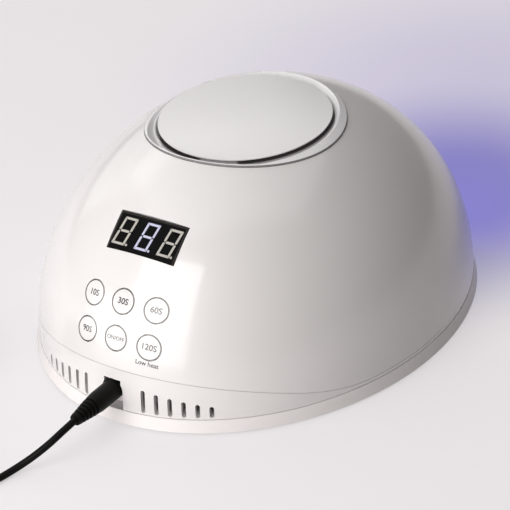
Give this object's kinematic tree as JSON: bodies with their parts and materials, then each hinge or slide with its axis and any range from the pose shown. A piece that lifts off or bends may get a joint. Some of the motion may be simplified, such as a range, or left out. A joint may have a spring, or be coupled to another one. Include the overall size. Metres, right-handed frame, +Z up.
{
  "type": "uv curing lamp",
  "caption": "Dome-shaped UV curing lamp with a round cap, a digital timer display, press keys, rear vents, a lift-off base and a coiled adapter lead",
  "frame": {"origin": "on the table, below the middle of the lamp's bounding box, the lead left out", "axes": "+Z up, +Y towards the rear with the display, keys and power jack, -Y towards the hand opening, +X completes the right-handed frame"},
  "size_m": [0.2339, 0.3382, 0.1075],
  "materials": {
    "base_white": "satin",
    "pearl_white": "gloss",
    "satin_pearl": "satin",
    "trim_grey": "satin",
    "chromed_trim": "polished",
    "silver_reflector": "polished",
    "mirror_sheet": "polished",
    "foot_rubber": "matte",
    "steel": "satin",
    "led_board": "satin",
    "led_lens": "gloss",
    "black_plastic": "satin",
    "display_black": "gloss",
    "segment_white": "matte",
    "circuit_board": "satin",
    "brass_pin": "polished",
    "cord_cover": "satin"
  },
  "bodies": {
    "base": {"base_tray": "base_white", "base_mirror": "mirror_sheet", "base_feet": "foot_rubber", "keeper_discs": "steel"},
    "housing": {"lower_frame": "pearl_white", "dome_shell": "pearl_white", "front_bezel": "pearl_white", "top_cap": "satin_pearl", "trim_ring": "trim_grey", "chrome_band": "chromed_trim", "reflector": "silver_reflector", "led_boards_low": "led_board", "led_boards_middle": "led_board", "led_boards_high": "led_board", "led_boards_top": "led_board", "leds_low": "led_lens", "leds_middle": "led_lens", "leds_high": "led_lens", "leds_top": "led_lens", "hand_sensors": "black_plastic", "display_module": "display_black", "display_segments": "segment_white", "display_board": "circuit_board", "key_switches": "black_plastic", "key_board": "circuit_board", "power_jack": "black_plastic", "jack_pin": "brass_pin", "frame_magnets": "steel", "frame_screws": "steel"},
    "lead": {"plug_grip": "black_plastic", "plug_barrel": "steel", "power_cord": "cord_cover", "cord_coil": "cord_cover", "cord_tail": "cord_cover", "coil_tie": "black_plastic", "adapter_case": "black_plastic", "adapter_plate": "black_plastic", "adapter_pins": "steel", "adapter_relief": "black_plastic"},
    "button_10s": {"key_10s": "pearl_white"},
    "button_30s": {"key_30s": "pearl_white"},
    "button_60s": {"key_60s": "pearl_white"},
    "button_90s": {"key_90s": "pearl_white"},
    "button_on_off": {"key_on_off": "pearl_white"},
    "button_120s": {"key_120s": "pearl_white"}
  },
  "joints": [
    {"name": "housing_lift", "type": "slide", "parent": "base", "child": "housing", "axis": [0, 0, 1], "range_m": [0, 0.012]},
    {"name": "plug_pull", "type": "slide", "parent": "housing", "child": "lead", "axis": [0, 1, 0], "range_m": [0, 0.012]},
    {"name": "press_10s", "type": "slide", "parent": "housing", "child": "button_10s", "axis": [0, -0.8877, -0.4605], "range_m": [0, 0.0006], "stiffness_N_per_m": 400, "springref_m": -0.0015},
    {"name": "press_30s", "type": "slide", "parent": "housing", "child": "button_30s", "axis": [0, -0.8877, -0.4605], "range_m": [0, 0.0006], "stiffness_N_per_m": 400, "springref_m": -0.0015},
    {"name": "press_60s", "type": "slide", "parent": "housing", "child": "button_60s", "axis": [0, -0.8877, -0.4605], "range_m": [0, 0.0006], "stiffness_N_per_m": 400, "springref_m": -0.0015},
    {"name": "press_90s", "type": "slide", "parent": "housing", "child": "button_90s", "axis": [0, -0.8877, -0.4605], "range_m": [0, 0.0006], "stiffness_N_per_m": 400, "springref_m": -0.0015},
    {"name": "press_on_off", "type": "slide", "parent": "housing", "child": "button_on_off", "axis": [0, -0.8877, -0.4605], "range_m": [0, 0.0006], "stiffness_N_per_m": 400, "springref_m": -0.0015},
    {"name": "press_120s", "type": "slide", "parent": "housing", "child": "button_120s", "axis": [0, -0.8877, -0.4605], "range_m": [0, 0.0006], "stiffness_N_per_m": 400, "springref_m": -0.0015}
  ]
}
